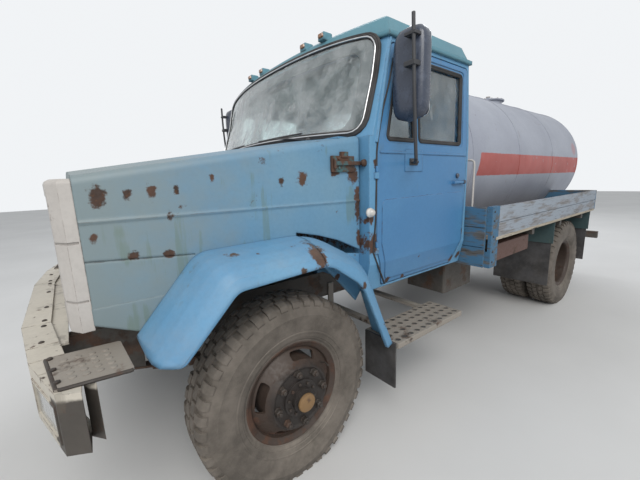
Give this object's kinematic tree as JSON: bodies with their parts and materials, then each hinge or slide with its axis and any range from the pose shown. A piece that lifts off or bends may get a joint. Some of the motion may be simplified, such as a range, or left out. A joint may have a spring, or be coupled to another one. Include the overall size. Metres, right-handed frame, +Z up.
{
  "type": "bonneted gas tanker truck",
  "caption": "Old two-axle bonneted tanker truck: blue cab, dished gas tank between low wooden boards, turning wheels, steering, doors and tilting bonnet.",
  "frame": {"origin": "centre of the bounding box's base, on the ground", "axes": "+X to the nose, +Y to the driver's side, +Z up"},
  "size_m": [6.798, 2.61, 2.624],
  "materials": {
    "blue_paint": "faded sky-blue enamel, chalked, with rust spots and green stains",
    "white_paint": "off-white enamel, chipped and dirty",
    "tank_paint": "light grey enamel with a red band",
    "frame_black": "black chassis paint, dusty and rusting",
    "rusty_steel": "bare rusted steel",
    "wheel_rust": "rusted wheel paint",
    "tyre_rubber": "dusty tyre rubber",
    "flap_rubber": "sheet rubber",
    "bumper_paint": "worn whitish paint over dark steel",
    "checker_steel": "worn dimpled steel plate",
    "glass_clear": "clear safety glass, dusty",
    "lamp_glass": "fluted lamp glass",
    "amber_lens": "orange lens",
    "red_lens": "red lens",
    "interior_plastic": "dark moulded plastic",
    "seat_vinyl": "worn dark vinyl",
    "old_wood": "weathered boards with blue-grey paint left",
    "teal_paint": "dark teal paint",
    "engine_metal": "oily cast metal",
    "mirror_shell": "dark moulded plastic"
  },
  "bodies": {
    "chassis": {"frame": "frame_black", "front_bumper": "bumper_paint", "headlamps": "lamp_glass", "bumper_steps": "checker_steel", "front_axle": "frame_black", "leaf_springs": "rusty_steel", "frame_brackets": "frame_black", "rear_axle": "frame_black", "engine": "engine_metal", "driveline": "engine_metal", "frame_boxes": "frame_black", "cab_shell": "blue_paint", "cab_roof": "blue_paint", "cab_glass": "glass_clear", "rear_flares": "blue_paint", "seats": "seat_vinyl", "dashboard": "interior_plastic", "steering_wheel": "interior_plastic", "running_boards": "checker_steel", "tank": "tank_paint", "tank_fittings": "tank_paint", "tank_supports": "rusty_steel", "bed_floor": "old_wood", "side_boards": "old_wood", "end_boards": "old_wood", "side_box": "rusty_steel", "rear_guards": "teal_paint", "mud_flaps": "flap_rubber", "tail_bar": "frame_black", "tail_lamps": "red_lens"},
    "bonnet_unit": {"bonnet": "blue_paint", "front_flares": "blue_paint", "grille": "white_paint"},
    "door_left_body": {"door_left": "blue_paint", "door_glass_left": "glass_clear", "mirror_left": "mirror_shell"},
    "door_right_body": {"door_right": "blue_paint", "door_glass_right": "glass_clear", "mirror_right": "mirror_shell"},
    "knuckle_left_body": {"knuckle_left": "frame_black"},
    "knuckle_right_body": {"knuckle_right": "frame_black"},
    "track_rod_body": {"track_rod": "frame_black"},
    "front_wheel_left": {"front_rim_left": "wheel_rust", "front_tyre_left": "tyre_rubber"},
    "front_wheel_right": {"front_rim_right": "wheel_rust", "front_tyre_right": "tyre_rubber"},
    "rear_wheel_left": {"rear_rims_left": "wheel_rust", "rear_tyres_left": "tyre_rubber"},
    "rear_wheel_right": {"rear_rims_right": "wheel_rust", "rear_tyres_right": "tyre_rubber"}
  },
  "joints": [
    {"name": "bonnet_tilt", "type": "hinge", "parent": "chassis", "child": "bonnet_unit", "pos_m": [3.19404, 0, 1], "axis": [0, 1, 0], "range_deg": [0, 50]},
    {"name": "door_left_swing", "type": "hinge", "parent": "chassis", "child": "door_left_body", "pos_m": [1.74604, 1.066, 1.4], "axis": [0, 0, -1], "range_deg": [0, 65]},
    {"name": "door_right_swing", "type": "hinge", "parent": "chassis", "child": "door_right_body", "pos_m": [1.74604, -1.066, 1.4], "axis": [0, 0, 1], "range_deg": [0, 65]},
    {"name": "steer_left", "type": "hinge", "parent": "chassis", "child": "knuckle_left_body", "pos_m": [2.35404, 0.765, 0.475], "axis": [0, 0, 1], "range_deg": [-32, 32]},
    {"name": "steer_right", "type": "hinge", "parent": "chassis", "child": "knuckle_right_body", "pos_m": [2.35404, -0.765, 0.475], "axis": [0, 0, 1], "range_deg": [-32, 32]},
    {"name": "track_rod_swing", "type": "hinge", "parent": "knuckle_left_body", "child": "track_rod_body", "pos_m": [2.16404, 0.765, 0.373], "axis": [0, 0, 1], "range_deg": [-32, 32]},
    {"name": "front_left_spin", "type": "hinge", "parent": "knuckle_left_body", "child": "front_wheel_left", "pos_m": [2.35404, 0.943, 0.475], "axis": [0, 1, 0], "continuous": true},
    {"name": "front_right_spin", "type": "hinge", "parent": "knuckle_right_body", "child": "front_wheel_right", "pos_m": [2.35404, -0.943, 0.475], "axis": [0, 1, 0], "continuous": true},
    {"name": "rear_left_spin", "type": "hinge", "parent": "chassis", "child": "rear_wheel_left", "pos_m": [-1.44596, 0.9265, 0.49], "axis": [0, 1, 0], "continuous": true},
    {"name": "rear_right_spin", "type": "hinge", "parent": "chassis", "child": "rear_wheel_right", "pos_m": [-1.44596, -0.9265, 0.49], "axis": [0, 1, 0], "continuous": true}
  ],
  "couplings": [
    {"joint": "steer_right", "follows": "steer_left", "ratio": 1},
    {"joint": "track_rod_swing", "follows": "steer_left", "ratio": -1}
  ]
}
